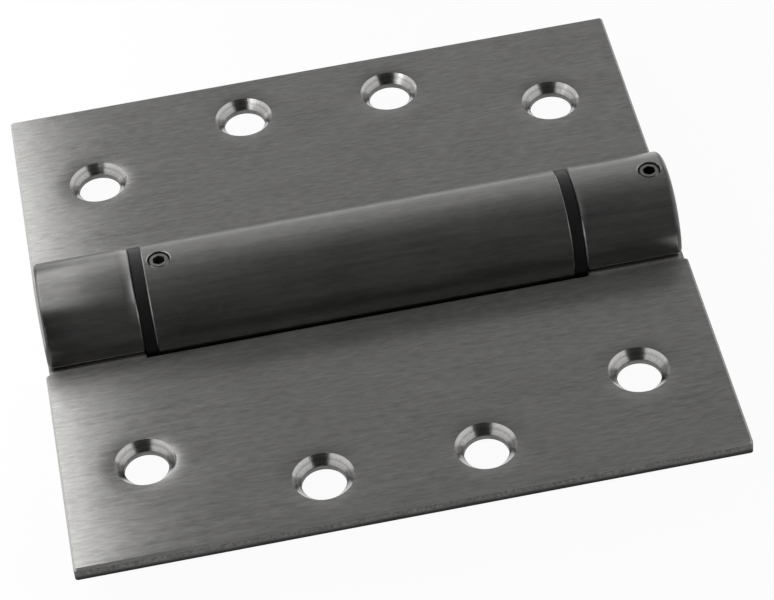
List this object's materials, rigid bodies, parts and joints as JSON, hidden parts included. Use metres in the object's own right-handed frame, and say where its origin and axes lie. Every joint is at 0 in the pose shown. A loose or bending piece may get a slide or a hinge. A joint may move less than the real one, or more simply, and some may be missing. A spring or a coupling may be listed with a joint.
{
  "type": "spring hinge",
  "caption": "Square full-mortise door hinge with a rolled barrel that holds an adjustable torsion spring, opened flat.",
  "frame": {"origin": "on the barrel's axis, half way along it, which is the middle of the hinge's box", "axes": "+X along the barrel, +Y to the rear leaf, +Z out of the countersunk faces"},
  "size_m": [0.1142, 0.1142, 0.0216],
  "materials": {
    "leaf_steel": "satin",
    "turned_steel": "satin",
    "spring_wire": "satin",
    "set_screw_steel": "satin",
    "black_nylon": "moulded"
  },
  "bodies": {
    "rear_half": {"rear_leaf": "leaf_steel", "spring_anchor": "turned_steel", "anchor_set_screw": "set_screw_steel", "left_bearing": "black_nylon", "right_bearing": "black_nylon", "torsion_spring": "spring_wire"},
    "front_half": {"front_leaf": "leaf_steel", "left_pivot": "turned_steel", "tension_set_screw": "set_screw_steel"},
    "adjuster": {"tension_adjuster": "turned_steel"}
  },
  "joints": [
    {"name": "leaf_fold", "type": "hinge", "parent": "rear_half", "child": "front_half", "pos_m": [0, 0, 0], "axis": [-1, 0, 0], "range_deg": [0, 180], "deforming": ["torsion_spring"]},
    {"name": "tension_setting", "type": "hinge", "parent": "front_half", "child": "adjuster", "pos_m": [0.048, 0, 0], "axis": [-1, 0, 0], "range_deg": [0, 360]}
  ]
}
